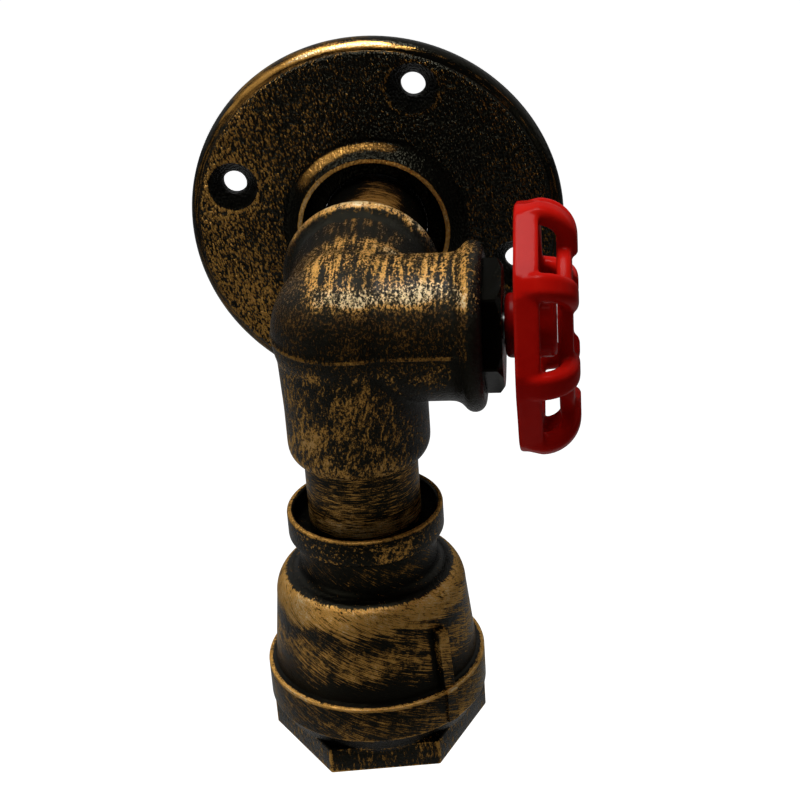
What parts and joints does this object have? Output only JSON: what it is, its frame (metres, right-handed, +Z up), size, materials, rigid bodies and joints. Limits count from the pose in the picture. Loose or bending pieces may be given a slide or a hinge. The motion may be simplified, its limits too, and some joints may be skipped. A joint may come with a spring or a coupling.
{
  "type": "wall light",
  "caption": "Wall light built from pipe fittings: a round screw flange, an elbow arm, a bell-shaped lamp cup with a screw socket, and a red handwheel that works the switch.",
  "frame": {"origin": "centre of the flange's back face, on the wall", "axes": "+Z up, +X towards the handwheel, -Y off the wall"},
  "size_m": [0.1006, 0.0996, 0.1556],
  "materials": {
    "antique_iron": "black paint, dry-brushed with bronze",
    "bronzed_pipe": "brushed bronze",
    "black_plug": "satin black",
    "red_enamel": "gloss enamel",
    "bright_steel": "plain",
    "brass": "plain",
    "bakelite": "moulded",
    "board": "laminated board",
    "cream_plastic": "moulded",
    "porcelain": "unglazed",
    "brown_insulation": "extruded",
    "blue_insulation": "extruded",
    "earth_insulation": "extruded"
  },
  "bodies": {
    "wall": {"wall_flange": "antique_iron"},
    "arm": {"wall_nipple": "bronzed_pipe", "outlet_elbow": "antique_iron", "drop_nipple": "bronzed_pipe", "lamp_cup": "antique_iron", "hex_plug": "black_plug", "switch_case": "bakelite", "switch_base": "board", "switch_contacts": "brass", "switch_screws": "bright_steel", "threaded_tube": "brass", "tube_nut": "brass", "earth_tag": "brass", "holder_cap": "bakelite", "holder_block": "porcelain", "holder_terminals": "brass", "holder_skirt": "bakelite", "screw_shell": "brass", "contact_spring": "bright_steel", "terminal_block": "cream_plastic", "terminal_screws": "bright_steel", "live_wire": "brown_insulation", "switched_wire": "brown_insulation", "neutral_wire": "blue_insulation", "earth_wire": "earth_insulation"},
    "wheel": {"switch_rotor": "cream_plastic", "rotor_bridge": "brass", "switch_spindle": "bright_steel", "handwheel": "red_enamel", "wheel_washer": "bright_steel", "wheel_screw": "bright_steel"},
    "contact": {"centre_contact": "brass"}
  },
  "joints": [
    {"name": "arm_swivel", "type": "hinge", "parent": "wall", "child": "arm", "pos_m": [0, 0, 0], "axis": [0, 1, 0], "range_deg": [-180, 180]},
    {"name": "wheel_turn", "type": "hinge", "parent": "arm", "child": "wheel", "pos_m": [0.0436, -0.0698, 0], "axis": [1, 0, 0], "range_deg": [0, 90]},
    {"name": "contact_press", "type": "slide", "parent": "arm", "child": "contact", "axis": [0, 0, 1], "range_m": [0, 0.0015], "stiffness_N_per_m": 2000, "springref_m": -0.001, "deforming": ["contact_spring"]}
  ]
}
